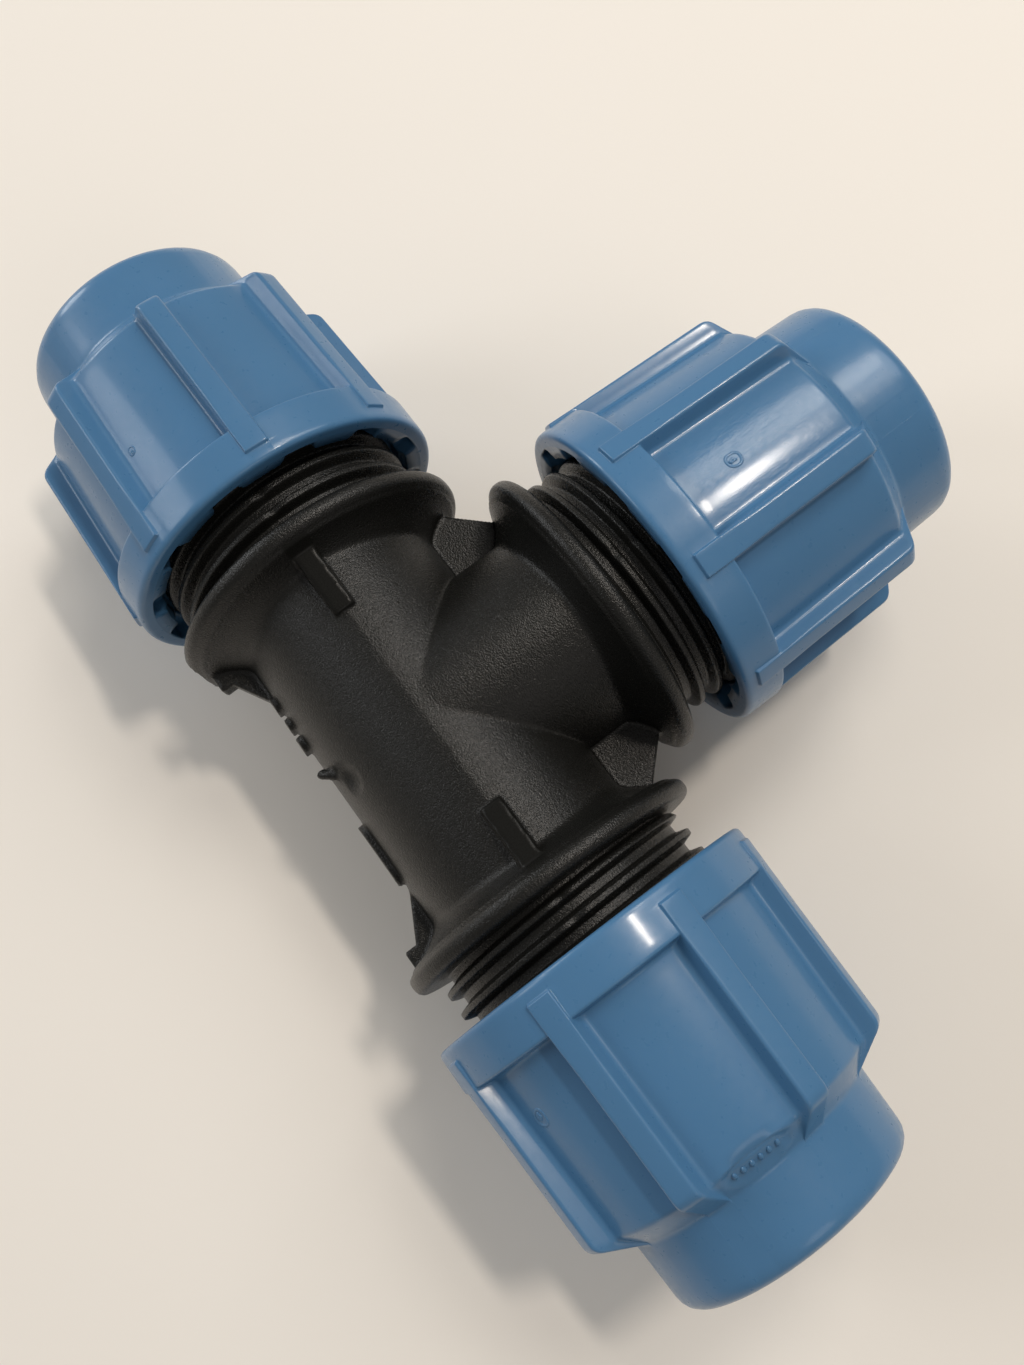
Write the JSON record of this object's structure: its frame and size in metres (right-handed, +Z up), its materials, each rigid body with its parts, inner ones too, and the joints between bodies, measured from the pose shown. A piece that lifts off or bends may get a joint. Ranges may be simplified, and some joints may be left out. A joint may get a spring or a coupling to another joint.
{
  "type": "compression fitting",
  "caption": "Tee-shaped compression fitting for polyethylene pipe: a moulded body with threaded sockets closed by ribbed union nuts over grip rings and seals.",
  "frame": {"origin": "bottom centre of the bounding box, with the nuts partly unscrewed as drawn", "axes": "+X along the run, +Y along the branch, +Z up with the part lying flat"},
  "size_m": [0.1716, 0.1134, 0.055],
  "materials": {
    "body_black": "fine spark-eroded grain, satin",
    "nut_blue": "smooth, satin",
    "grip_white": "smooth",
    "bush_black": "smooth",
    "seal_rubber": "smooth"
  },
  "bodies": {
    "tee": {"tee_body": "body_black", "thrust_bush_left": "bush_black", "thrust_bush_right": "bush_black", "thrust_bush_branch": "bush_black", "o_ring_left": "seal_rubber", "o_ring_right": "seal_rubber", "o_ring_branch": "seal_rubber"},
    "carrier_left": {"grip_ring_left": "grip_white"},
    "nut_left": {"union_nut_left": "nut_blue"},
    "carrier_right": {"grip_ring_right": "grip_white"},
    "nut_right": {"union_nut_right": "nut_blue"},
    "carrier_branch": {"grip_ring_branch": "grip_white"},
    "nut_branch": {"union_nut_branch": "nut_blue"}
  },
  "joints": [
    {"name": "nut_travel_left", "type": "slide", "parent": "tee", "child": "carrier_left", "axis": [-1, 0, 0], "range_m": [-0.0066, 0.00825]},
    {"name": "nut_turn_left", "type": "hinge", "parent": "carrier_left", "child": "nut_left", "pos_m": [-0.06, -0.02915, 0.02751], "axis": [-1, 0, 0], "range_deg": [-720, 900]},
    {"name": "nut_travel_right", "type": "slide", "parent": "tee", "child": "carrier_right", "axis": [1, 0, 0], "range_m": [-0.0066, 0.00825]},
    {"name": "nut_turn_right", "type": "hinge", "parent": "carrier_right", "child": "nut_right", "pos_m": [0.06, -0.02915, 0.02751], "axis": [1, 0, 0], "range_deg": [-720, 900]},
    {"name": "nut_travel_branch", "type": "slide", "parent": "tee", "child": "carrier_branch", "axis": [0, 1, 0], "range_m": [-0.0066, 0.00825]},
    {"name": "nut_turn_branch", "type": "hinge", "parent": "carrier_branch", "child": "nut_branch", "pos_m": [0, 0.03086, 0.02751], "axis": [0, 1, 0], "range_deg": [-720, 900]}
  ],
  "couplings": [
    {"joint": "nut_travel_left", "follows": "nut_turn_left", "m_per_rad": 0.00052521},
    {"joint": "nut_travel_right", "follows": "nut_turn_right", "m_per_rad": 0.00052521},
    {"joint": "nut_travel_branch", "follows": "nut_turn_branch", "m_per_rad": 0.00052521}
  ]
}
